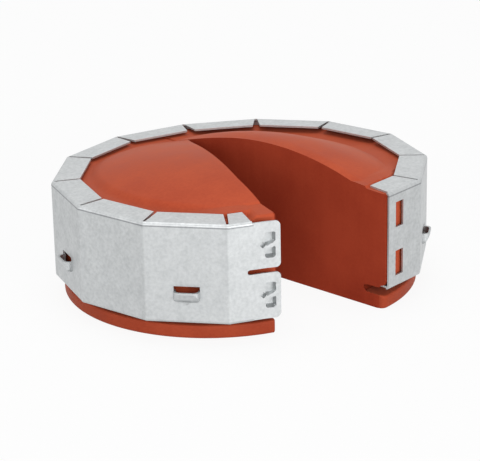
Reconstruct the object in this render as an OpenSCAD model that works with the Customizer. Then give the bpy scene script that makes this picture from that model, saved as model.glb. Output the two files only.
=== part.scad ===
// Firestop cable collar, opened to be laid round a bundle of cables.
// A folded steel strip holds a domed foam plug that is slit from one side.
// The origin is under the middle of the foam web behind the slit, and the slit opens towards -Y.

/* [Collar strip] */
// Length of one full side, along the outside
side_len = 42; // [36:0.5:50]
// Number of sides that the closed collar has
side_count = 12; // [12:1:12]
// Length of the first side, which carries the hooks
first_len = 26.6; // [24:0.1:32]
// Length of the last side, which carries the windows
last_len = 27; // [22:0.1:32]
// Height of the wall over both folds
wall_h = 51.8; // [46:0.1:70]
// Thickness of the steel sheet
sheet_t = 1.0; // [0.7:0.1:1.2]
// Outside radius of the upright bends
bend_r = 2.6; // [2:0.1:4]
// Outside radius of the folds that turn the tabs inwards
fold_r = 1.6; // [1.3:0.1:2.4]

/* [Opening] */
// Angle by which the most opened bend is straightened
hinge_give = 11.5; // [6:0.1:15]
// Place of the most opened bend, counted from the hook end
hinge_bend = 7.3; // [6.6:0.1:7.6]
// Spread of the opening to the bends beside it, in bends
hinge_spread = 1.4; // [0.8:0.1:2]
// Extra closing of each bend over the one before it
bend_drift = 0.25; // [0:0.05:0.5]
// Heading of the side behind the slit
back_turn = -3.3; // [-6:0.1:0]
// Sideways place of the middle of the side behind the slit
back_shift = -6.2; // [-9:0.1:-3]

/* [Tabs] */
// Depth of the tabs, from the outside of the wall
tab_d = 14.4; // [12:0.1:18]
// Set-back of a tab from each bend at its root
tab_root = 1.1; // [1:0.1:2]
// Set-back of a tab from each bend at its tip
tab_tip = 4.7; // [4.5:0.1:8]
// Angle by which the tabs stand open from square
tab_rise = 2.5; // [0:0.5:4]
// Set-back of the last tab from the window end, at its root
last_tab_root = 1.5; // [1:0.1:3]
// Set-back of the last tab from the window end, at its tip
last_tab_tip = 3.1; // [3:0.1:6]

/* [Hook end] */
// Length of the hook end that has no tabs
bare_len = 14; // [12:0.5:17]
// Set-back of the bare edges from the top and bottom of the wall
bare_in = 0.7; // [0.5:0.1:1.5]
// Length of the slit between the hooks
slit_len = 17; // [12:0.5:19]
// Width of the slit between the hooks
slit_w = 2.5; // [2:0.1:4]
// Radius of the slit's mouth and of the upper corner
soft_r = 2.4; // [1:0.1:3]
// Radius of the lower corner
low_r = 3; // [1:0.1:4]
// Distance of the hooks from the free edge
hook_in = 2.5; // [2:0.1:4]
// Width of a hook
hook_w = 5.4; // [4.5:0.1:6]
// Length of the bent ends of the two tongues
tongue_len = 7.6; // [6:0.1:9]
// Outward set of the tongues' free edge
tongue_set = 0.6; // [0:0.1:0.8]
// Depth to which a hook is pressed in
hook_deep = 2.2; // [1.5:0.1:2.6]
// Size of the lozenge pit beside a hook's bridge
lozenge = 2.9; // [2:0.1:3.2]

/* [Window end] */
// Distance of the windows from the free edge
window_in = 5.6; // [4:0.1:8]
// Width of a window
window_w = 6.3; // [4:0.1:7]
// Height of a window and of a hook
catch_h = 13.4; // [10:0.1:15]
// Height of the lower catch above the wall's bottom edge
catch_low = 6.2; // [5:0.1:8]
// Height of the upper catch above the wall's bottom edge
catch_high = 32.3; // [30:0.1:33]

/* [Anchor pockets] */
// Width of a pocket
pocket_w = 13.1; // [9:0.1:16]
// Distance by which a pocket stands out from the wall
pocket_out = 3.7; // [2.5:0.1:5]
// Height of the foot of a pocket
pocket_foot = 11; // [9:0.1:12]
// Height of the small dart under a pocket
dart_h = 1.6; // [1:0.1:2]
// Height of the rim of a pocket
pocket_rim = 17.2; // [16:0.1:19]
// Height of the slot over the rim
slot_h = 2.2; // [1:0.1:3]

/* [Foam plug] */
// Drop of the plug's foot below the wall
lip_drop = 11.5; // [10:0.1:14]
// Thickness of the lip under the collar
lip_h = 7.2; // [5:0.1:7.5]
// Overhang of the lip past the closed collar's flats
lip_over = 1.1; // [0:0.1:2]
// Radius of the lip's lower edge
lip_round = 1.6; // [1:0.1:3]
// Squeeze of the plug's body against the flats
plug_squeeze = 2.1; // [1:0.1:3]
// Clearance of the plug from the sheet
plug_gap = 0.4; // [0.3:0.1:0.6]
// Room over the lower tabs in their groove
groove_room = 0.4; // [0.3:0.1:1]
// Depth of the rim below the wall's top edge
rim_drop = 2; // [1.8:0.1:4]
// Height of the dome over the wall's top edge
dome_over = 10.4; // [6:0.1:14]
// Radius of the dome's curve
dome_r = 183; // [170:1:220]
// Set-back of the dome's foot from the tab tips
dome_set = -0.2; // [-0.8:0.1:3]
// Shoulder of the dome, inwards
shoulder_w = 3; // [2:0.1:5]

/* [Slit] */
// Foam left between the slit's end and the wall behind it
web = 30.3; // [27:0.1:34]
// Length of the slit's pressed-shut end
crease_len = 14; // [8:0.5:16]
// Width of the slit's pressed-shut end
crease_w = 0.4; // [0.3:0.1:0.6]
// Pull of the left half's middle away from the slit's end
left_pull = 0.4; // [-1:0.1:4]
// Pull of the right half's middle away from the slit's end
right_pull = 9; // [7:0.1:12]
// Hollow of the left cut face
left_bow = 5.8; // [4:0.1:7]
// Set-back of the left cut face from the hook end
left_short = 1.5; // [1:0.1:4]
// Reach of the right cut face past the window end
right_past = 1.6; // [0:0.1:2]

/* [Hidden] */
$fn = 64;
panels = side_count + 1;
hinge_panel = ceil(panels / 2);
closed_bend = 360 / side_count;
flat_r = side_len / 2 / tan(closed_bend / 2);
hair = 0.02;
lap = 9;
far = 400;

wall_z = lip_drop;
top_z = wall_z + wall_h;
rim_z = top_z - rim_drop;
groove_top = wall_z + sheet_t + groove_room;
groove_r = flat_r - tab_d - groove_room;
groove_mid = (lip_h + groove_top) / 2;
groove_h = groove_top - lip_h;
plug_r = flat_r + plug_squeeze;
lip_r = flat_r + lip_over;
body_round = 3;
dome_foot = flat_r - tab_d - dome_set;
slit_end = [0, -web / 2];
web_y = slit_end[1] + crease_len;

// The angle of each upright bend: closed, less what the opening straightened
function bend(k) =
    closed_bend + bend_drift * (k - hinge_panel)
    - hinge_give * exp(-pow((k - hinge_bend) / hinge_spread, 2));
function side(k) = k == 1 ? first_len : k == panels ? last_len : side_len;
function way(a) = [cos(a), sin(a)];

// Heading of side k, then its end points, both counted out from the side behind the slit
function heading(k) =
    k == hinge_panel ? back_turn
    : k > hinge_panel ? heading(k - 1) - bend(k - 1)
    : heading(k + 1) + bend(k);
function corner(k) =
    k == hinge_panel ? [back_shift, web / 2] + way(back_turn) * side(k) / 2
    : k == hinge_panel - 1 ? [back_shift, web / 2] - way(back_turn) * side(hinge_panel) / 2
    : k > hinge_panel ? corner(k - 1) + way(heading(k)) * side(k)
    : corner(k + 1) - way(heading(k + 1)) * side(k + 1);

// Inward offset of the strip's corners, for what lies inside the wall
function inward(k, d) =
    corner(k) + way(heading(k) - 90 - bend(k) / 2) * d / cos(bend(k) / 2);
function room(d, reach) = concat(
    [corner(0) - way(heading(1)) * reach + way(heading(1) - 90) * d],
    [for (k = [1:panels - 1]) inward(k, d)],
    [corner(panels) + way(heading(panels)) * reach + way(heading(panels) - 90) * d]
);

function arc(c, r, a0, a1, n = 6) = [for (i = [0:n]) c + r * way(a0 + (a1 - a0) * i / n)];

// Frame of side k: x along the side, y outwards, z up from the wall's bottom edge
module on_side(k)
    translate([corner(k - 1)[0], corner(k - 1)[1], wall_z]) rotate(heading(k)) children();

// Carries a profile, drawn outwards and up, along the side from x0 to x1
module along(x0, x1)
    translate([x0, 0, 0]) rotate([90, 0, 90]) linear_extrude(x1 - x0) children();

// Carries an outline, drawn along the side and up, through the wall from y0 to y1
module through(y0, y1)
    translate([0, y1, 0]) rotate([90, 0, 0]) linear_extrude(y1 - y0) children();

// One flange, as points: up the outside of the fold to the tab's tip, and back along the inside
function flange(z, turn) =
    let (
        c = [-fold_r, z],
        a = turn * (90 - tab_rise),
        run = (tab_d - fold_r) * way(a + turn * 90)
    )
    concat(
        arc(c, fold_r, 0, a),
        [c + fold_r * way(a) + run, c + (fold_r - sheet_t) * way(a) + run],
        arc(c, fold_r - sheet_t, a, 0)
    );
function reversed(p) = [for (i = [len(p) - 1:-1:0]) p[i]];

// Section of a side: wall, both folds and both tabs
module side_section()
    polygon(concat(flange(wall_h - fold_r, 1), reversed(flange(fold_r, -1))));

// Section of a bend: wall and folds only, thicker than the sides by a hair so that they join
module bend_section() {
    translate([-sheet_t - hair, fold_r]) square([sheet_t + 2 * hair, wall_h - 2 * fold_r]);
    translate([-fold_r, wall_h - fold_r]) fold_ring();
    translate([-fold_r, fold_r]) mirror([0, 1]) fold_ring();
}
module fold_ring()
    intersection() {
        difference() {
            circle(fold_r + hair);
            circle(fold_r - sheet_t - hair);
        }
        polygon([[0, 0], [9, 0], [9, 9], 9 * way(95 - tab_rise)]);
    }

// Length that a bend takes from each side that it joins
function bend_cut(k) = k < 1 || k >= panels ? 0 : bend_r * tan(bend(k) / 2);

// Cutter that trims the start of both tabs, slanting from its root to its tip
module tab_trim(start, root, tip) {
    base = -fold_r - 0.1;
    translate([0, 0, -3]) linear_extrude(wall_h + 6)
        polygon([[start - 1, base], [root, base], [tip, -tab_d], [tip, -tab_d - 3],
                 [start - 1, -tab_d - 3]]);
}

module plain_side(k) {
    length = side(k);
    first = k == 1;
    last = k == panels;
    start = first ? bare_len : bend_cut(k - 1);
    difference() {
        along(start, length - bend_cut(k)) side_section();
        tab_trim(start, first ? bare_len + 0.4 : tab_root, first ? bare_len + 0.4 : tab_tip);
        translate([length, 0, 0]) mirror([1, 0, 0])
            tab_trim(0, last ? last_tab_root : tab_root, last ? last_tab_tip : tab_tip);
    }
}

// The rounded bend at the end of side k
module round_bend(k)
    on_side(k) translate([side(k) - bend_cut(k), -bend_r, 0])
        rotate(90 - bend(k) - lap) rotate_extrude(angle = bend(k) + 2 * lap)
            translate([bend_r, 0]) bend_section();

// Cutter that rounds a square corner at the origin, which opens towards +x and +z
module corner_cutter(r)
    through(-sheet_t - 1, 1) difference() {
        translate([-1, -1]) square(r + 1);
        translate([r, r]) circle(r);
    }

// The hook end before its hooks are pressed: bare edges, and two tongues bent slightly outwards
module hook_end() {
    slit_z = (catch_low + catch_h + catch_high) / 2;
    difference() {
        translate([0, 0, bare_in]) linear_extrude(wall_h - 2 * bare_in)
            polygon([[bare_len, 0], [bare_len, -sheet_t], [tongue_len, -sheet_t],
                     [0, tongue_set - sheet_t], [0, tongue_set], [tongue_len, 0]]);
        translate([0, 0, bare_in]) corner_cutter(low_r);
        translate([0, 0, wall_h - bare_in]) mirror([0, 0, 1]) corner_cutter(soft_r);
        translate([0, 0, slit_z + slit_w / 2]) corner_cutter(soft_r);
        translate([0, 0, slit_z - slit_w / 2]) mirror([0, 0, 1]) corner_cutter(soft_r);
    }
}

module hook_slit() {
    slit_z = (catch_low + catch_h + catch_high) / 2;
    through(-sheet_t - 1, 1) {
        translate([-1, slit_z - slit_w / 2]) square([slit_len - slit_w / 2 + 1, slit_w]);
        translate([slit_len - slit_w / 2, slit_z]) circle(slit_w / 2);
    }
}

// A form pressed in the sheet: its side view, front view and plan, all three together
module pressed(x0, x1, y0, y1, z0, z1, side_view, front, plan)
    intersection() {
        along(x0, x1) polygon(side_view);
        through(y0, y1) polygon(front);
        translate([0, 0, z0]) linear_extrude(z1 - z0) polygon(plan);
    }

// Lobe of a hook, pressed inwards between heights z0 and z1; its far edge slants by lean
module lobe(z0, z1, lean0, lean1, grow) {
    x0 = hook_in - grow;
    x1 = hook_in + hook_w + grow;
    slope = hook_deep * 0.45;
    deep = hook_deep + grow;
    pressed(
        x0, x1, -sheet_t - deep, grow > 0 ? -sheet_t / 2 : 1, z0 - grow, z1 + grow,
        [[1, z0 - grow], [-sheet_t / 2, z0 - grow], [-sheet_t - deep, z0 - grow + slope],
         [-sheet_t - deep, z1 + grow - slope], [-sheet_t / 2, z1 + grow], [1, z1 + grow]],
        [[x0, z0 - grow + lean0 + 1], [x0 + 1, z0 - grow + lean0], [x1 - 1, z0 - grow],
         [x1, z0 - grow + 1], [x1, z1 + grow - lean1 - 0.6], [x1 - 0.6, z1 + grow - lean1],
         [x0 + 0.6, z1 + grow], [x0, z1 + grow - 0.6]],
        [[x0, 1], [x0, -sheet_t / 2], [x0 + slope / 2, -sheet_t - deep],
         [x1 - slope / 2, -sheet_t - deep], [x1, -sheet_t / 2], [x1, 1]]
    );
}

bridge = 2;
lean = 1.5;
function lobe_split(z) = z + catch_h * 0.44;

// Both lobes of the hook that starts at height z, and the lozenge pit beside its bridge
module lobes(z, grow) {
    lobe(z, lobe_split(z), 0, lean, grow);
    lobe(lobe_split(z) + bridge - lean, z + catch_h, lean, 0, grow);
    translate([hook_in + hook_w + lozenge * 0.35, 0, lobe_split(z) + bridge / 2])
        through(-sheet_t - hook_deep * 0.8 - grow, grow > 0 ? -sheet_t / 2 : 1)
            rotate(45) square(lozenge * 0.8 + 2 * grow, center = true);
}

module hook_cuts(z) {
    lobes(z, 0);
    translate([hook_in + hook_w - 0.3, -sheet_t - hook_deep - 2, lobe_split(z) + bridge / 2])
        cube([0.5, sheet_t + hook_deep + 3, catch_h * 0.4]);
}

module windows()
    for (z = [catch_low, catch_high])
        translate([last_len - window_in - window_w, -sheet_t - 1, z])
            cube([window_w, sheet_t + 2, catch_h]);

// Anchor pocket: a pouch pressed outwards under a slot, thinner by skin inside
module pouch(skin, top) {
    w = pocket_w / 2 - skin;
    out = pocket_out - skin;
    foot = pocket_foot + skin * 0.8;
    back = skin > 0 ? -sheet_t - 1 : -sheet_t / 2;
    turn = 2.6;
    mid = side_len / 2;
    pressed(
        mid - w, mid + w, back, out, foot - 2, top,
        [[back, foot], [0, foot], [out * 0.62, foot + (pocket_rim - foot) * 0.36],
         [out, pocket_rim - 1], [out, top], [back, top]],
        concat(
            [[mid + w, top], [mid - w, top]],
            arc([mid - w + turn, foot + turn], turn, 180, 270, 4),
            arc([mid + w - turn, foot + turn], turn, 270, 360, 4)
        ),
        concat(
            [[mid - w, back]], arc([mid - w + turn, out - turn], turn, 180, 90, 4),
            arc([mid + w - turn, out - turn], turn, 90, 0, 4), [[mid + w, back]]
        )
    );
}

// Small dart at the foot of the pouch, where the sheet is creased
module dart()
    intersection() {
        along(side_len / 2 - 2, side_len / 2 + 2)
            polygon([[-sheet_t / 2, pocket_foot - dart_h], [0, pocket_foot - dart_h],
                     [0.9, pocket_foot + 0.5], [-sheet_t / 2, pocket_foot + 0.5]]);
        through(-sheet_t, 2)
            polygon([[side_len / 2, pocket_foot - dart_h], [side_len / 2 + 2, pocket_foot + 0.5],
                     [side_len / 2 - 2, pocket_foot + 0.5]]);
    }

module pocket_hole() {
    pouch(sheet_t * 0.9, pocket_rim + 1);
    translate([(side_len - pocket_w) / 2, -sheet_t - 1, pocket_rim])
        cube([pocket_w, sheet_t + pocket_out + 2, slot_h]);
}

module steel_collar() {
    color([0.78, 0.79, 0.8]) difference() {
        union() {
            for (k = [1:panels]) on_side(k) plain_side(k);
            for (k = [1:panels - 1]) round_bend(k);
            on_side(1) hook_end();
            on_side(1) for (z = [catch_low, catch_high]) lobes(z, sheet_t * 0.8);
            for (k = [2:2:side_count]) on_side(k) {
                pouch(0, pocket_rim);
                dart();
            }
        }
        on_side(1) hook_slit();
        on_side(1) for (z = [catch_low, catch_high]) hook_cuts(z);
        on_side(panels) windows();
        for (k = [2:2:side_count]) on_side(k) pocket_hole();
    }
}

// Section of one plug half, from its middle line outwards
module plug_section()
    polygon(concat(
        [[0, 0]],
        arc([lip_r - lip_round, lip_round], lip_round, -90, 0),
        [[lip_r, lip_h - 1], [lip_r - 1, lip_h]],
        arc([groove_r + groove_h / 2, groove_mid], groove_h / 2, 270, 90, 10),
        arc([plug_r - body_round, groove_top + body_round], body_round, -90, 0),
        [[plug_r, rim_z - 1.5], [plug_r - 1.5, rim_z], [0, rim_z]]
    ));

// The plug half turned round its own middle, with a dome that ends at the tips of the tabs
module plug_half(middle) {
    translate(middle) rotate_extrude() plug_section();
    intersection() {
        translate(middle) {
            intersection() {
                translate([0, 0, top_z + dome_over - dome_r]) sphere(dome_r, $fn = 180);
                translate([0, 0, rim_z - 5])
                    cylinder(h = 5 + dome_over + rim_drop, r1 = dome_foot + 5 * shoulder_slope,
                        r2 = dome_foot - (dome_over + rim_drop) * shoulder_slope);
            }
        }
        translate([0, 0, rim_z - 4]) linear_extrude(far) polygon(room(tab_d + plug_gap, 8));
    }
}

// Direction from the slit's end to a point, as an angle from -Y, to the right positive
function gap_angle(p) = atan2(p[0] - slit_end[0], slit_end[1] - p[1]);
function down(a) = [sin(a), -cos(a)];
shoulder_slope = shoulder_w / (dome_over + rim_drop) * 4;
left_end = corner(0) + way(heading(1)) * left_short + way(heading(1) - 90) * sheet_t;
right_end = corner(panels) + way(heading(panels)) * right_past + way(heading(panels) - 90) * sheet_t;
left_angle = gap_angle(left_end);
right_angle = gap_angle(right_end);
left_middle = slit_end + down(left_angle) * (flat_r - web + left_pull)
    + down(left_angle - 90) * left_bow / 2;
right_middle = slit_end + down(right_angle) * (flat_r - web + right_pull);

// What the slit leaves of the left half, seen from above: its cut face is a hollow arc
module left_plan() {
    chord = norm(left_end - slit_end);
    bow_r = (chord * chord / 4 + left_bow * left_bow) / (2 * left_bow);
    bow_middle = slit_end + down(left_angle) * chord / 2 + down(left_angle + 90) * (bow_r - left_bow);
    difference() {
        polygon([
            [0, far], [0, web_y], [-crease_w / 2, web_y], [-crease_w / 2, slit_end[1]],
            slit_end + down(left_angle) * far, [-far, -far], [-far, far]
        ]);
        translate(bow_middle) circle(bow_r, $fn = 360);
    }
}

// What the slit leaves of the right half: its cut face is flat
module right_plan()
    polygon([
        [0, far], [0, web_y], [crease_w / 2, web_y], [crease_w / 2, slit_end[1]],
        slit_end + down(right_angle) * far, [far, -far], [far, far]
    ]);

// The room inside the strip, over a plain block that lets the lip pass under the wall
module plug_room() {
    translate([0, 0, groove_mid]) linear_extrude(far) polygon(room(sheet_t + plug_gap, 8));
    translate([-far, -far, -1]) cube([2 * far, 2 * far, groove_mid + 1]);
}

// What the lower tabs take of the core where they reach deeper than the groove
module tab_bite() {
    foot = wall_z - (tab_d - fold_r) * sin(tab_rise) - groove_room;
    translate([0, 0, foot]) linear_extrude(wall_z + sheet_t - foot) difference() {
        square(2 * far, center = true);
        polygon(concat([[40, -far], [-40, -far]], room(tab_d + groove_room, 8)));
    }
}

// Foam behind the slit's end that eases the left half's back into the right half's
module heel(r, z0, z1) {
    back = left_middle[1] + sqrt(r * r - left_middle[0] * left_middle[0]) - 0.4;
    near = right_middle + (r - 0.8) * way(68);
    translate([0, 0, z0]) linear_extrude(z1 - z0)
        polygon([[-1, web_y + 1], [-1, back], [0.5, back], near, [near[0], web_y + 1]]);
}

module foam_plug() {
    color([0.66, 0.29, 0.2]) intersection() {
        union() {
            intersection() {
                plug_half(left_middle);
                translate([0, 0, -1]) linear_extrude(far) left_plan();
            }
            intersection() {
                plug_half(right_middle);
                translate([0, 0, -1]) linear_extrude(far) right_plan();
            }
            heel(lip_r, lip_round, lip_h - 1);
            heel(plug_r - 1, groove_top + 1, rim_z);
        }
        plug_room();
        difference() {
            cube(2 * far, center = true);
            tab_bite();
        }
    }
}

steel_collar();
foam_plug();
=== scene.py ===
"""Firestop cable collar, opened: a galvanised strip round a domed red-brown foam plug.

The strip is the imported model's own node with a zinc finish. The foam is a new skin in place of
its node: upright slices carried round each half of the plug, in the shape that the foam takes
when the collar is bent open. Sizes are written in millimetres and angles in degrees, in the
model's frame: the slit opens towards -Y, and Z is up. Lamps and the camera are in metres.
"""
import bpy
import numpy as np
from mathutils import Matrix, Vector


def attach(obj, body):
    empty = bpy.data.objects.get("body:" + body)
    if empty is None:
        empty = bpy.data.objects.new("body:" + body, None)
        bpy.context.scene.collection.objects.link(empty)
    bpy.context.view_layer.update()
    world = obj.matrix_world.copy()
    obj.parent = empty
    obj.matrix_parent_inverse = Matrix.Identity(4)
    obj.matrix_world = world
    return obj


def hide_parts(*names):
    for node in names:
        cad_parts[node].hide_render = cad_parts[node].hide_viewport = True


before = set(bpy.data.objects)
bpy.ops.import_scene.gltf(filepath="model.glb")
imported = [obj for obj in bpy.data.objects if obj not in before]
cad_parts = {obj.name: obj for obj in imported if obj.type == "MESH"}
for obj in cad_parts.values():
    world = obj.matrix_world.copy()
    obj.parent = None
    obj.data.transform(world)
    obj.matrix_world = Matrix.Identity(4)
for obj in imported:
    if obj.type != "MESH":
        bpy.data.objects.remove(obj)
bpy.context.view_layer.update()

MM = 0.001

# The strip's outer face from above: how many sides it has and how long they are, which side is
# behind the slit (counted from 0), where its middle lies and which way it runs
SIDES, SIDE, FIRST_SIDE, LAST_SIDE = 13, 42.0, 26.6, 27.0
BACK_SIDE, BACK_MIDDLE, BACK_TURN = 6, np.array([-6.2, 15.15]), -3.3

# Its bends: the closed ring's bend, what each has more than the one before it, and the bell of
# bend that the opening straightened, by its height, its place and its width counted in bends
RING_BEND, BEND_DRIFT = 30.0, 0.25
STRAIGHTENED, STRAIGHT_AT, STRAIGHT_SPREAD = 11.5, 7.3, 1.4

# Depths from the strip's outer face, whose sheet is 1 mm thick: the tabs' tips, how deep the
# skin's body and its dome's foot lie at least, and how much deeper than that foot the groove is
TAB = 14.4
BODY_DEPTH, FOOT_DEPTH, GROOVE_DEEPER = 1.15, TAB + 0.35, 0.6

# The foam plug: where its slit ends and how long the cut is, its levels, and its radii
SLIT_END, CUT_LENGTH = np.array([0.0, -15.15]), 133.0
LIP_TOP, GROOVE_TOP, RIM = 7.2, 12.9, 61.3
LIP_R, GROOVE_R, BODY_R = 79.47, 63.57, 80.47

# Its roundings: the lip's lower and upper edges, the body's lower edge and the rim's edge, and
# how wide the rim is that the dome's foot doesn't reach
LIP_ROUND, LIP_EDGE, BODY_ROUND, RIM_EDGE, RIM_WIDE = 1.6, 1.0, 3.0, 1.5, 7.0

# The dome: its top and its sphere's radius, the half width over which the halves' heights blend,
# where along the cut the lean sets in and grows, how wide the lean's bell is, how far out the sag
# sets in and is full, and how wide a band along the cut it spares
DOME_TOP, DOME_R, BLEND = 73.7, 183.0, 12.0
LEAN_SETS_IN, LEAN_GROWS, LEAN_SPREAD = (-30, 0), (5, 110), 42.0
SAG_SETS_IN, SAG_SPARES = (8, 60), 20.0

# The crease on which the halves meet, pressed shut: the place that it runs towards, from which Y
# to which it fades out, its depth and its half width
CREASE_OUT, CREASE_FADES = np.array([-5.5, 14.0]), (2, 10)
CREASE_DEPTH, CREASE_WIDTH = 2.4, 0.55

# Beside the cut: the width of the dome's shoulder, how much shallower the groove is and over
# which part of the way round, and how far the body hangs over the lower tab's edge, over which
# part of the way round, and how far in from its own side
SHOULDER, SHALLOW, SHALLOW_FADES = 1.5, 2.4, (0, 0.012)
HANG, HANG_FADES, HANG_IN = 1.5, (0.002, 0.007), 4.5

# The points on each part of a slice's outline, in their order: out under the lip, round the
# groove, up the body, in over the rim and the dome, and down the cut face
POINTS = {"underside": 10, "lip's lower edge": 6, "lip's side": 3, "lip's upper edge": 4,
          "lip's top": 5, "groove": 12, "body's underside": 5, "body's lower edge": 6,
          "body's side": 22, "rim's edge": 5, "rim": 9, "inner rim": 6, "dome": 44,
          "cut face": 24}


class Half:
    """One half of the plug as it lies in the opened collar: the middle of its circles, and how
    far its cut face is turned from -Y and hollowed. The cut face steps to the right by the first
    number of step, between the other two along the cut. The radius of the dome's foot goes from
    the first of foot to the second over foot_turns, a part of the way round, and shoulder is the
    width of the dome's shoulder there. The dome stands higher by the first number of lean at the
    slit's end and by the second at the mouth, and falls off by the first number of sag in the
    direction of the second. nose is the length of the lip's rounded end at the mouth, and
    round_way is 1 where the slices go round anticlockwise, and else -1."""

    def __init__(self, middle, turn, hollow, step, foot, foot_turns, shoulder, lean, sag, nose,
                 round_way):
        self.middle = np.array(middle)
        self.turn, self.hollow, self.step = turn, hollow, step
        self.foot, self.foot_turns, self.shoulder = foot, foot_turns, shoulder
        self.lean, self.sag = lean, sag
        self.nose, self.round_way = nose, round_way


LEFT = Half(middle=(-14.1, -61.6), turn=-13.42, hollow=5.8, step=(2.0, 108, 129),
            foot=(66.8, 64.2), foot_turns=(0.05, 0.5), shoulder=6.0, lean=(-3.7, 3.6),
            sag=(0.0, 0), nose=0.8, round_way=-1)
RIGHT = Half(middle=(13.3, -70.6), turn=13.51, hollow=0.0, step=(1.2, 0, 45),
             foot=(66.5, 64.0), foot_turns=(0.5, 0.85), shoulder=3.0, lean=(0.15, 1.4),
             sag=(4.6, 25), nose=3.2, round_way=1)


def smooth_step(x, start, end):
    """0 before start and 1 after end, with 3t2 - 2t3 between them."""
    t = np.clip((x - start) / (end - start), 0.0, 1.0)
    return t * t * (3.0 - 2.0 * t)


def bell(x, width):
    """1 at 0, and away from it e to the power of minus the square of x over the width."""
    return np.exp(-(x / width) ** 2)


def way(degrees):
    """Directions in the plane: cosine and sine of the angle."""
    a = np.radians(degrees)
    return np.stack([np.cos(a), np.sin(a)], axis=-1)


def along_and_right(x, y, place, direction):
    """Distance from a place along a direction, and distance to the right of that line: the two
    are the dot and the cross product with the direction."""
    dx, dy = x - place[0], y - place[1]
    return dx * direction[0] + dy * direction[1], dx * direction[1] - dy * direction[0]


def along_and_off_cut(x, y, half):
    """Distance from the slit's end along a half's cut, and distance to the cut's +X side."""
    along, right = along_and_right(x, y, SLIT_END, way(half.turn - 90))
    return along, -right


def right_of_crease(x, y):
    """Distance to the +X side of the line on which the two halves meet."""
    line = CREASE_OUT - SLIT_END
    return along_and_right(x, y, SLIT_END, line / np.hypot(*line))[1]


def strip_line():
    """Corners, headings and bends of the strip. Each of the twelve bends turns a twelfth of a
    circle and a quarter of a degree more from one to the next, less what the opening
    straightened, which is a bell over the bend behind the slit. The sides are laid end to end."""
    k = np.arange(1, SIDES)
    bend = (RING_BEND + BEND_DRIFT * (k - BACK_SIDE - 1)
            - STRAIGHTENED * bell(k - STRAIGHT_AT, STRAIGHT_SPREAD))
    turned = np.concatenate([[0.0], np.cumsum(bend)])
    heading = BACK_TURN - (turned - turned[BACK_SIDE])
    length = np.full(SIDES, SIDE)
    length[[0, -1]] = FIRST_SIDE, LAST_SIDE
    corner = np.vstack([[0.0, 0.0], np.cumsum(way(heading) * length[:, None], axis=0)])
    corner += BACK_MIDDLE - (corner[BACK_SIDE] + corner[BACK_SIDE + 1]) / 2
    return corner, heading, bend


STRIP = strip_line()


def inside_line(depth):
    """The strip's line moved inwards by depth, and run on 8 mm past both of its ends. A corner
    moves half its bend off the side's normal, by the depth over the cosine of half the bend."""
    corner, heading, bend = STRIP
    run_on = 8
    inner = corner[1:-1] + way(heading[:-1] - 90 - bend / 2) * (
        depth / np.cos(np.radians(bend) / 2))[:, None]
    first = corner[0] - run_on * way(heading[0]) + depth * way(heading[0] - 90)
    last = corner[-1] + run_on * way(heading[-1]) + depth * way(heading[-1] - 90)
    return np.vstack([first, inner, last])


def reach_line(start, ray, line):
    """Distance along each ray to a line of straight pieces, at the nearest crossing. The places
    of a crossing on the ray and on the piece are both a quotient of two cross products."""
    piece = np.diff(line, axis=0)[None]
    away = line[None, :-1] - start[:, None]
    ray = ray[:, None]
    across = ray[..., 0] * piece[..., 1] - ray[..., 1] * piece[..., 0]
    q = (away[..., 0] * piece[..., 1] - away[..., 1] * piece[..., 0]) / across
    share = (away[..., 0] * ray[..., 1] - away[..., 1] * ray[..., 0]) / across
    return np.where((share > -1e-9) & (share < 1 + 1e-9) & (q > 0), q, np.inf).min(axis=1)


def reach_circle(start, ray, middle, radius):
    """Distance along each ray to a circle, the far root of its quadratic."""
    d = start - middle
    b = (d * ray).sum(axis=1)
    return -b + np.sqrt(np.maximum(b * b - (d * d).sum(axis=1) + radius ** 2, 0))


def cut_line(t, half):
    """Places on a half's cut face from above, t from the slit's end: a chord turned from -Y,
    set to the right as a smooth step, or with a circular hollow to its left."""
    side = half.step[0] * smooth_step(t, *half.step[1:])
    if half.hollow:
        r = (CUT_LENGTH ** 2 / 4 + half.hollow ** 2) / (2 * half.hollow)
        side = side - np.sqrt(np.maximum(r * r - (t - CUT_LENGTH / 2) ** 2, 0)) + r - half.hollow
    return SLIT_END + t[:, None] * way(half.turn - 90) + side[:, None] * way(half.turn)


def dome_height(x, y):
    """Height of the dome: a sphere over each half's middle, with a lean towards the mouth that
    dies away from the cut as a bell, and a sag away from the cut in one direction, as a smooth
    step. The halves' heights are blended across their meeting."""
    heights = []
    for half in (LEFT, RIGHT):
        dx, dy = x - half.middle[0], y - half.middle[1]
        t, off = along_and_off_cut(x, y, half)
        low, high = half.lean
        lean = low * smooth_step(t, *LEAN_SETS_IN) + (high - low) * smooth_step(t, *LEAN_GROWS)
        fall, turn = half.sag
        out = dx * way(turn)[0] + dy * way(turn)[1]
        sag = fall * smooth_step(out, *SAG_SETS_IN) * (1 - bell(off, SAG_SPARES))
        heights.append(DOME_TOP - DOME_R + np.sqrt(DOME_R ** 2 - dx ** 2 - dy ** 2)
                       + lean * bell(off, LEAN_SPREAD) - sag)
    share = smooth_step(right_of_crease(x, y), -BLEND, BLEND)
    return heights[0] * (1 - share) + heights[1] * share


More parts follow.
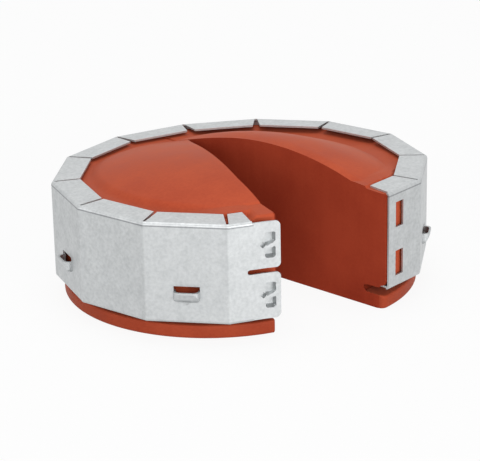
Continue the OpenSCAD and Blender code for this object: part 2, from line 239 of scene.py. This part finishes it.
def rim_height(x, y):
    """Height of the rim: level, but pushed up where no tab holds it down, beside the bare end
    (where a fine seam is left by the mould) and past the end tabs, up against the last tab, and
    sunk a little under the tabs at the right of the back. What is pushed up rises evenly inwards
    and dies away with the distance from the strip's end."""
    corner, heading, _ = STRIP
    inward = way(heading - 90)
    inner = ((x[..., None] - corner[:-1, 0]) * inward[:, 0]
             + (y[..., None] - corner[:-1, 1]) * inward[:, 1])
    inner = np.abs(inner).min(axis=-1)
    # how deep from the strip's face the seam lies, its half width, and how deep the push grows
    seam_at, seam_width, push_grows = 5.6, 0.6, 22
    lift = 0.0
    # for each end: its place and direction, the part along it in which it stops being bare, the
    # push and its rise, how far the end tab lets the rim up, and the depth and step of the seam
    for end, direction, bare, push, rise, under_tab, seam, step in (
            (corner[0], way(heading[0]), (8.4, 13.4), 1.9, 0.07, 0.0, 0.45, 0.25),
            (corner[-1], -way(heading[-1]), (-1.0, -0.1), 1.2, 0.097, 0.9, 0.0, 0.0)):
        along, right = along_and_right(x, y, end, direction)
        depth = np.abs(right)
        free = 1 - smooth_step(along, *bare)
        past = smooth_step(np.minimum(depth, inner), TAB + 0.2, TAB + 1.0)
        past = past * (1 - smooth_step(along, 12, 50))
        near = 1 - smooth_step(np.hypot(x - end[0], y - end[1]), 40, 65)
        pushed = push + rise * np.minimum(depth, push_grows)
        under = under_tab * (1 + 0.045 * np.minimum(depth, TAB))
        under = under * (1 - smooth_step(along, 5, 30))
        lift = lift + near * (under + (pushed - under) * np.maximum(free, past))
        notch = seam * bell(depth - seam_at, seam_width)
        notch = notch + step * smooth_step(depth, seam_at, seam_at + 1)
        lift = lift - near * free * notch
    sunk = 1.3 * smooth_step(y, -100, -60) * smooth_step(x, 5, 30)
    return RIM + lift - sunk


def slice_rays(half, slices):
    """Where each upright slice starts on the cut face, and its direction. From the first slice,
    which lies in the cut face, to the last, which is the meeting of the halves, the start runs
    up the cut face to the slit's end while the far end goes round the half's outside."""
    past_middle, sweep_r = 45, 80
    u = np.linspace(0, 1, slices)
    w = 0.5 * u + 0.25 * (1 - np.cos(u * np.pi))
    middle_t = float(along_and_off_cut(*half.middle, half)[0])
    start = cut_line((middle_t + past_middle) * (1 - w), half)
    front = cut_line(np.array([CUT_LENGTH]), half)[0] - half.middle
    back = CREASE_OUT - half.middle
    a = np.degrees(np.arctan2([front[1], back[1]], [front[0], back[0]]))
    turn = (a[1] - a[0]) % 360 if half.round_way > 0 else -((a[0] - a[1]) % 360)
    radius = (sweep_r + (np.hypot(*front) - sweep_r) * (1 - smooth_step(w, 0, 0.1))
              + (np.hypot(*back) - sweep_r) * smooth_step(w, 0.8, 1))
    ray = half.middle + radius[:, None] * way(a[0] + turn * w) - start
    return w, start, ray / np.hypot(*ray.T)[:, None]


def reaches(half, w, start, ray, meeting):
    """How far the lip, the groove, the body and the dome's foot reach along each slice: circles
    round the half's middle, held inside the strip and its tabs. The lip's end is a quarter
    circle at the mouth, and the groove is shallow at the cut face. Near the halves' meeting they
    run over into what the other half reaches there."""
    wall = reach_line(start, ray, inside_line(BODY_DEPTH))
    tips = reach_line(start, ray, inside_line(FOOT_DEPTH))
    lip, groove, body, foot = (
        reach_circle(start, ray, half.middle, r) for r in (
            LIP_R, GROOVE_R, BODY_R,
            half.foot[0] + (half.foot[1] - half.foot[0]) * smooth_step(w, *half.foot_turns)))
    from_end = np.clip(np.pi * LIP_R * w / half.nose, 0, 1)
    nose = half.nose * (1 - np.sqrt(1 - (1 - from_end) ** 2))
    shallow = SHALLOW * (1 - smooth_step(w, *SHALLOW_FADES))
    reach = np.stack([lip - nose, np.minimum(groove, tips - GROOVE_DEEPER) + shallow,
                      np.minimum(body, wall), np.minimum(foot, tips)])
    if meeting is not None:
        reach += (meeting - reach[:, -1])[:, None] * smooth_step(w, 0.8, 1)
    reach[2:] = np.minimum(reach[2:], [wall, tips])
    return reach


def slice_outline(reach):
    """A slice's outline as distances q along it and heights z, one row for each slice: out under
    the lip and round it, into the half-round groove, out and up the body, in over the rim, and
    in over the dome to the cut face. Arcs are a middle plus a radius times cosine and sine."""
    lip, groove, body, foot = reach[..., None]

    def line(part, q0, q1, z0, z1, ease=1.0):
        """Points of a straight part, crowded towards its start where ease is over 1."""
        s = (np.arange(POINTS[part])[None] / POINTS[part]) ** ease
        return q0 + (q1 - q0) * s, z0 + (z1 - z0) * s + 0 * q0

    def arc(part, q, z, r, a0, a1):
        """Points of a part that is an arc round (q, z), from the first angle to the second."""
        a = np.radians(a0 + (a1 - a0) * np.arange(POINTS[part])[None] / POINTS[part])
        return q + r * np.cos(a), z + r * np.sin(a) + 0 * q

    deep = (GROOVE_TOP - LIP_TOP) / 2
    flat = body - RIM_WIDE
    parts = [
        line("underside", 0 * lip, lip - LIP_ROUND, 0, 0),
        arc("lip's lower edge", lip - LIP_ROUND, LIP_ROUND, LIP_ROUND, -90, 0),
        line("lip's side", lip, lip, LIP_ROUND, LIP_TOP - LIP_EDGE),
        arc("lip's upper edge", lip - LIP_EDGE, LIP_TOP - LIP_EDGE, LIP_EDGE, 0, 90),
        line("lip's top", lip - LIP_EDGE, groove + deep, LIP_TOP, LIP_TOP),
        arc("groove", groove + deep, LIP_TOP + deep, deep, 270, 90),
        line("body's underside", groove + deep, body - BODY_ROUND, GROOVE_TOP, GROOVE_TOP),
        arc("body's lower edge", body - BODY_ROUND, GROOVE_TOP + BODY_ROUND, BODY_ROUND, -90, 0),
        line("body's side", body, body, GROOVE_TOP + BODY_ROUND, RIM - RIM_EDGE),
        arc("rim's edge", body - RIM_EDGE, RIM - RIM_EDGE, RIM_EDGE, 0, 90),
        line("rim", body - RIM_EDGE, flat, RIM, RIM),
        line("inner rim", flat, foot, RIM, RIM),
        line("dome", foot, 0 * foot, RIM, RIM, ease=1.4),
    ]
    return np.hstack([q for q, _ in parts]), np.hstack([z for _, z in parts])


def first_point(part):
    """The place in the outline of a part's first point: the sum of the points before it."""
    names = list(POINTS)
    return sum(POINTS[name] for name in names[:names.index(part)])


def pressed_in(x, y, z):
    """How far the steel presses the body in: round dents behind the anchor pockets, as bells,
    and behind the hooks a flat at one depth from the strip, which fades out past them."""
    corner, heading, _ = STRIP
    dent_depth, dent_width, dent_height, dent_z = 1.3, 8, 7, 28.5
    hook_depth, hooks_fade, hooks_top = 4.2, (11, 16), (56, 59)
    # the pockets are at the middle of every second side
    pocket = (corner[1:-1:2] + corner[2::2]) / 2
    near = np.hypot(x[..., None] - pocket[:, 0], y[..., None] - pocket[:, 1]).min(axis=-1)
    dent = dent_depth * bell(near, dent_width) * bell(z - dent_z, dent_height)
    along, depth = along_and_right(x, y, corner[0], way(heading[0]))
    hooks = (1 - smooth_step(along, *hooks_fade)) * (along > -8) * (depth < 20)
    hooks = hooks * (1 - smooth_step(z, *hooks_top))
    hooks = hooks * smooth_step(z, GROOVE_TOP - 1, GROOVE_TOP + 2)
    return np.maximum(dent, hooks * np.clip(hook_depth - depth, 0, None))


def crease_depth(x, y):
    """How deep the crease is where it is full: a narrow bell across the halves' meeting."""
    return CREASE_DEPTH * bell(right_of_crease(x, y), CREASE_WIDTH)


def plug_half(half, slices, meeting=None):
    """One half of the plug as a grid of points, slice by outline, closed down its cut face. Its
    slices end at the meeting, which is what the other half's last slice reaches. The rim's
    height is blended in up the body's side, and the dome rises from its foot over a shoulder
    that widens away from the cut."""
    w, start, ray = slice_rays(half, slices)
    reach = reaches(half, w, start, ray, meeting)
    q, z = slice_outline(reach)
    x, y = (start[:, i, None] + q * ray[:, i, None] for i in (0, 1))
    press = pressed_in(x, y, z)
    x, y = (p - press * ray[:, i, None] for i, p in enumerate((x, y)))

    body, flat = first_point("body's side"), first_point("rim")
    rim = rim_height(x, y)
    z[:, body:flat] += ((rim - RIM) * smooth_step(z, RIM - 12, RIM - RIM_EDGE))[:, body:flat]
    shoulder = SHOULDER + (half.shoulder - SHOULDER) * smooth_step(w, 0.05, 0.3)
    rise = np.maximum(dome_height(x, y) - rim, 0)
    rise = rise * smooth_step(reach[3][:, None] - q, 0, shoulder[:, None])
    crease = crease_depth(x, y) * smooth_step(y, SLIT_END[1] - 1, SLIT_END[1] + 1)
    crease *= 1 - smooth_step(y, *CREASE_FADES)
    z[:, flat:] = (rim + rise - crease)[:, flat:]

    # beside the cut the body hangs down over the lower tab's edge, but not under its own side
    low = (z > LIP_TOP + 2) & (z < GROOVE_TOP + 0.1) & (q < reach[2][:, None] - HANG_IN)
    near_cut = 1 - smooth_step(w, *HANG_FADES)[:, None]
    z -= HANG * low * near_cut * smooth_step(z, 10, GROOVE_TOP)

    # the cut face, from the dome's edge down to the underside: the crease is half deep there
    steps = POINTS["cut face"]
    down = 1 - np.arange(steps)[None] / steps
    over = np.maximum(dome_height(*start.T), rim_height(*start.T))
    over[-1] -= crease_depth(*start[-1]) / 2
    grid = np.stack([
        np.hstack([x, np.broadcast_to(start[:, :1], (slices, steps))]),
        np.hstack([y, np.broadcast_to(start[:, 1:], (slices, steps))]),
        np.hstack([z, over[:, None] * down])], axis=-1)
    return grid, reach[:, -1]


def foam_plug(slices):
    """The whole plug as one closed skin: the left half's slices from the mouth to the meeting,
    the right half's back from it to the mouth, and the two flat ends of the cut faces. Each
    point makes a face with the next ones in its outline and in the next slice. The third result
    says which faces take the darker cut-face material: the cut faces, and, as painted shade,
    the groove and the body's very ends."""
    left, meeting = plug_half(LEFT, slices)
    right, _ = plug_half(RIGHT, slices, meeting)
    grid = np.concatenate([left, right[-2::-1]])
    rows, n = grid.shape[:2]
    i, j = np.meshgrid(np.arange(rows - 1), np.arange(n), indexing="ij")
    k = (j + 1) % n
    quads = np.stack([i * n + k, (i + 1) * n + k, (i + 1) * n + j, i * n + j], axis=-1)
    ends = [np.arange(n)[::-1], (rows - 1) * n + np.arange(n)]
    faces = quads.reshape(-1, 4).tolist() + [end.tolist() for end in ends]

    groove, body, rim, cut = map(first_point, ("groove", "body's side", "rim", "cut face"))
    # the groove and the body's very ends take the darker cut-face material as painted shade
    cut_or_painted_shade = (j >= cut) | ((j >= groove) & (j < body))
    cut_or_painted_shade |= (j >= body) & (j < rim) & ((i < 1) | (i >= rows - 2))
    return grid.reshape(-1, 3), faces, np.concatenate([cut_or_painted_shade.ravel(), [True, True]])


def foam_object():
    """The plug's skin as an object, shaded smooth except along its edges."""
    points, faces, cut_or_painted_shade = foam_plug(200)
    mesh = bpy.data.meshes.new("foam_plug_skin")
    mesh.from_pydata((points * MM).tolist(), [], faces)
    mesh.polygons.foreach_set("material_index", cut_or_painted_shade.astype(np.int32))
    mesh.shade_smooth()
    mesh.set_sharp_from_angle(angle=np.radians(34))
    mesh.validate()
    piece = bpy.data.objects.new("foam_plug_skin", mesh)
    bpy.context.scene.collection.objects.link(piece)
    return piece


def speckle_group():
    """Speckle of a surface: soft patches, fine grain and upright streaks, each noise round 0.5."""
    group = bpy.data.node_groups.new("surface speckle", "ShaderNodeTree")
    group.interface.new_socket("Vector", in_out="INPUT", socket_type="NodeSocketVector")
    for name, value in (("Patch Scale", 60.0), ("Grain Scale", 900.0), ("Streak Scale", 500.0)):
        socket = group.interface.new_socket(name, in_out="INPUT", socket_type="NodeSocketFloat")
        socket.default_value = value
    n, link = group.nodes, group.links
    entry, leave = n.new("NodeGroupInput"), n.new("NodeGroupOutput")
    upright = n.new("ShaderNodeMapping")
    upright.inputs["Scale"].default_value = (1.0, 1.0, 0.12)
    link.new(entry.outputs["Vector"], upright.inputs["Vector"])
    for name, where, detail in (("Patch", entry.outputs["Vector"], 3.0),
                                ("Grain", entry.outputs["Vector"], 2.0),
                                ("Streak", upright.outputs["Vector"], 2.0)):
        out = group.interface.new_socket(name, in_out="OUTPUT", socket_type="NodeSocketFloat")
        noise = n.new("ShaderNodeTexNoise")
        noise.inputs["Detail"].default_value = detail
        link.new(where, noise.inputs["Vector"])
        link.new(entry.outputs[name + " Scale"], noise.inputs["Scale"])
        link.new(noise.outputs["Fac"], leave.inputs[out.name])
    return group


def new_material(name):
    """A material with the one shader it starts with."""
    material = bpy.data.materials.new(name)
    material.use_nodes = True
    return material, material.node_tree, material.node_tree.nodes["Principled BSDF"]


def place_on(tree):
    """The place on the piece, in metres in the model's frame."""
    return tree.nodes.new("ShaderNodeTexCoord").outputs["Object"]


def height_on(tree):
    """The height on the piece, in metres."""
    parts = tree.nodes.new("ShaderNodeSeparateXYZ")
    tree.links.new(place_on(tree), parts.inputs["Vector"])
    return parts.outputs["Z"]


def speckle(tree, group, patch, grain, streak):
    """The speckle group placed in a material, with its scales per metre."""
    marks = tree.nodes.new("ShaderNodeGroup")
    marks.node_tree = group
    tree.links.new(place_on(tree), marks.inputs["Vector"])
    for name, value in (("Patch Scale", patch), ("Grain Scale", grain), ("Streak Scale", streak)):
        marks.inputs[name].default_value = value
    return marks.outputs


def worked_out(tree, operation, *values):
    """What a Math node makes of its values, each a number or another node's output."""
    node = tree.nodes.new("ShaderNodeMath")
    node.operation = operation
    for socket, value in zip(node.inputs, values):
        if isinstance(value, bpy.types.NodeSocket):
            tree.links.new(value, socket)
        else:
            socket.default_value = value
    return node.outputs[0]


def weighted(tree, terms):
    """A sum of outputs, each times its weight, that stays round 0.5 as they do: it starts from
    half of what the weights leave of 1."""
    total = 0.5 * (1 - sum(weight for _, weight in terms))
    for source, weight in terms:
        total = worked_out(tree, "MULTIPLY_ADD", source, weight, total)
    return total


def ramp(tree, source, stops):
    """A colour ramp with the given (place, colour) stops, fed by source."""
    node = tree.nodes.new("ShaderNodeValToRGB")
    elements = node.color_ramp.elements
    while len(elements) < len(stops):
        elements.new(0.5)
    for element, (place, colour) in zip(elements, stops):
        element.position = place
        element.color = (*colour, 1.0)
    tree.links.new(source, node.inputs["Fac"])
    return node.outputs["Color"]


def map_range(tree, source, start, end, low, high):
    """The source, with start to end spread evenly over low to high and held beyond them."""
    node = tree.nodes.new("ShaderNodeMapRange")
    for name, value in (("From Min", start), ("From Max", end), ("To Min", low), ("To Max", high)):
        node.inputs[name].default_value = value
    tree.links.new(source, node.inputs["Value"])
    return node.outputs["Result"]


def spread(tree, tone, low, high):
    """A tone's usual range, 0.3 to 0.7, spread over low to high."""
    return map_range(tree, tone, 0.3, 0.7, low, high)


def tinted(tree, colour, mask, tint):
    """The colour, multiplied by a tint where the mask is 1."""
    mix = tree.nodes.new("ShaderNodeMix")
    mix.data_type = "RGBA"
    mix.blend_type = "MULTIPLY"
    mix.inputs["B"].default_value = (*tint, 1.0)
    tree.links.new(mask, mix.inputs["Factor"])
    tree.links.new(colour, mix.inputs["A"])
    return mix.outputs["Result"]


def fine_bump(tree, shader, height, strength, depth):
    """A bump on the shader's normal, with its depth in millimetres."""
    bump = tree.nodes.new("ShaderNodeBump")
    bump.inputs["Strength"].default_value = strength
    bump.inputs["Distance"].default_value = depth * MM
    tree.links.new(height, bump.inputs["Height"])
    tree.links.new(bump.outputs["Normal"], shader.inputs["Normal"])


def fold_shade_line(tree):
    """1 on the thin line of painted shade below the upper fold, which is where the height is
    within 0.36 mm of the line's, and not within 13.5 mm of the bare end."""
    line = 61.55 * MM
    mark = worked_out(tree, "COMPARE", height_on(tree), line, 0.36 * MM)
    far = tree.nodes.new("ShaderNodeVectorMath")
    far.operation = "DISTANCE"
    far.inputs[1].default_value = (*(STRIP[0][0] * MM), line)
    tree.links.new(place_on(tree), far.inputs[0])
    folded = worked_out(tree, "GREATER_THAN", far.outputs["Value"], 13.5 * MM)
    return worked_out(tree, "MULTIPLY", mark, folded)


def zinc_sheet(group):
    """Galvanised sheet: satin zinc with a fine mottled grain and faint upright streaks, and a
    thin darker line of painted shade below the upper fold."""
    material, tree, shader = new_material("galvanised sheet")
    marks = speckle(tree, group, 150.0, 620.0, 400.0)
    tone = weighted(tree, [(marks["Patch"], 0.6), (marks["Grain"], 0.9), (marks["Streak"], 0.12)])
    grey = ramp(tree, tone, [(0.25, (0.46, 0.475, 0.48)), (0.75, (0.57, 0.585, 0.59))])
    # painted shade: the grey is darkened on a thin line just below the upper fold
    grey = tinted(tree, grey, fold_shade_line(tree), (0.58, 0.58, 0.59))
    tree.links.new(grey, shader.inputs["Base Color"])
    tree.links.new(spread(tree, tone, 0.54, 0.46), shader.inputs["Roughness"])
    shader.inputs["Metallic"].default_value = 0.9
    fine_bump(tree, shader, marks["Grain"], 0.10, 0.12)
    return material


def moulded_skin(group):
    """The foam's moulded skin: red-brown, softly mottled, a matt satin. The lip is darker, as
    painted shade under the collar, which sets in from 10 mm down to 6 mm above the floor."""
    material, tree, shader = new_material("foam moulded skin")
    marks = speckle(tree, group, 55.0, 620.0, 300.0)
    tone = weighted(tree, [(marks["Patch"], 0.9), (marks["Grain"], 0.5)])
    skin = ramp(tree, tone, [(0.3, (0.41, 0.060, 0.022)), (0.7, (0.48, 0.081, 0.032))])
    # painted shade: the lip's colour is darkened from 10 mm down to 6 mm above the floor
    lip = map_range(tree, height_on(tree), 10 * MM, 6 * MM, 0.0, 1.0)
    skin = tinted(tree, skin, lip, (0.74, 0.7, 0.7))
    tree.links.new(skin, shader.inputs["Base Color"])
    tree.links.new(spread(tree, tone, 0.55, 0.66), shader.inputs["Roughness"])
    shader.inputs["Specular IOR Level"].default_value = 0.12
    shader.inputs["Sheen Weight"].default_value = 0.11
    shader.inputs["Sheen Roughness"].default_value = 0.4
    shader.inputs["Sheen Tint"].default_value = (1.0, 0.62, 0.45, 1.0)
    fine_bump(tree, shader, marks["Grain"], 0.12, 0.25)
    return material


def cut_and_shaded_foam(group):
    """The foam's cut faces, and as painted shade the groove and the body's ends: darker than the
    skin, partly as painted shade, and duller, with faint upright knife marks.
    """
    material, tree, shader = new_material("foam cut face and painted shade")
    marks = speckle(tree, group, 24.0, 800.0, 260.0)
    tone = weighted(tree, [(marks["Patch"], 1.2), (marks["Grain"], 0.35), (marks["Streak"], 0.2)])
    # painted shade: this colour is darker than the skin's partly to stand in for shade
    colour = ramp(tree, tone, [(0.25, (0.258, 0.029, 0.011)), (0.75, (0.345, 0.047, 0.019))])
    tree.links.new(colour, shader.inputs["Base Color"])
    tree.links.new(spread(tree, tone, 0.82, 0.92), shader.inputs["Roughness"])
    shader.inputs["Specular IOR Level"].default_value = 0.1
    height = weighted(tree, [(marks["Grain"], 0.7), (marks["Streak"], 0.2)])
    fine_bump(tree, shader, height, 0.15, 0.3)
    return material


def place_camera():
    """The photograph's camera: front left, 20 degrees above the horizon. Its place, the right
    of its picture and its view direction were solved from corners measured in the photograph."""
    data = bpy.data.cameras.new("photo camera")
    data.sensor_width = 36.0
    data.lens = 149.98
    place = Vector((-0.5451, -0.8978, 0.38933))
    right = Vector((0.83269, -0.55342, -0.0187))
    forward = Vector((0.51464, 0.78592, -0.34275))
    up = right.cross(forward)
    turn = Matrix((right, up, -forward)).transposed()
    camera = bpy.data.objects.new("photo camera", data)
    camera.matrix_world = Matrix.Translation(place) @ turn.to_4x4()
    bpy.context.scene.collection.objects.link(camera)
    bpy.context.scene.camera = camera


def soft_box(name, azimuth, elevation, distance, size, glow):
    """A square soft box that faces the collar, of a given glow per square metre of its face:
    its power is the glow times pi times its area."""
    data = bpy.data.lights.new(name, "AREA")
    data.shape = "SQUARE"
    data.size = size
    data.energy = glow * np.pi * size ** 2
    collar = Vector((0, -0.07, 0.03))
    flat = way(azimuth) * np.cos(np.radians(elevation))
    off = Vector((*flat, np.sin(np.radians(elevation)))) * distance
    lamp = bpy.data.objects.new(name, data)
    turn = (-off).to_track_quat("-Z", "Y").to_matrix().to_4x4()
    lamp.matrix_world = Matrix.Translation(collar + off) @ turn
    bpy.context.scene.collection.objects.link(lamp)


def seen_or_mirrored(tree):
    """1 for what the camera, a mirror or a glass shows directly, 0 for what light falls on."""
    path = tree.nodes.new("ShaderNodeLightPath").outputs
    mirrored = worked_out(tree, "MAXIMUM", path["Is Camera Ray"], path["Is Glossy Ray"])
    return worked_out(tree, "MAXIMUM", mirrored, path["Is Transmission Ray"])


def white_floor():
    """A wide pale floor that shows white and keeps a tenth of its own shading, and with it the
    collar's shadow."""
    mesh = bpy.data.meshes.new("floor")
    r = 6.0
    mesh.from_pydata([(-r, -r, 0), (r, -r, 0), (r, r, 0), (-r, r, 0)], [], [(0, 1, 2, 3)])
    floor = bpy.data.objects.new("floor", mesh)
    bpy.context.scene.collection.objects.link(floor)
    material, tree, shader = new_material("white floor")
    n, link = tree.nodes, tree.links
    shader.inputs["Base Color"].default_value = (0.86, 0.86, 0.86, 1)
    shader.inputs["Roughness"].default_value = 0.9
    glow = n.new("ShaderNodeEmission")
    share = worked_out(tree, "MULTIPLY", seen_or_mirrored(tree), 0.9)
    mix = n.new("ShaderNodeMixShader")
    for source, socket in zip((share, shader.outputs[0], glow.outputs[0]), mix.inputs):
        link.new(source, socket)
    link.new(mix.outputs[0], n["Material Output"].inputs["Surface"])
    mesh.materials.append(material)


def soft_world():
    """White where it is seen or mirrored, and a plain pale fill elsewhere."""
    world = bpy.data.worlds.new("studio")
    bpy.context.scene.world = world
    world.use_nodes = True
    tree = world.node_tree
    back = tree.nodes["Background"]
    back.inputs["Color"].default_value = (1, 1, 1, 1)
    level = map_range(tree, seen_or_mirrored(tree), 0.0, 1.0, 0.47, 1.0)
    tree.links.new(level, back.inputs["Strength"])


speckles = speckle_group()
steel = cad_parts["steel_collar"]
steel.data.materials.clear()
steel.data.materials.append(zinc_sheet(speckles))

foam = foam_object()
foam.data.materials.append(moulded_skin(speckles))
foam.data.materials.append(cut_and_shaded_foam(speckles))
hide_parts("foam_plug")
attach(foam, "root")

place_camera()
white_floor()
soft_world()
soft_box("low front soft box", azimuth=-90, elevation=10, distance=1.9, size=0.9, glow=6.2)
soft_box("left soft box", azimuth=-128, elevation=14, distance=1.9, size=1.2, glow=2.7)
soft_box("left rear soft box", azimuth=165, elevation=12, distance=1.9, size=1.0, glow=1.2)
soft_box("overhead soft box", azimuth=90, elevation=84, distance=1.9, size=1.5, glow=1.75)

bpy.context.scene.view_settings.view_transform = "Standard"
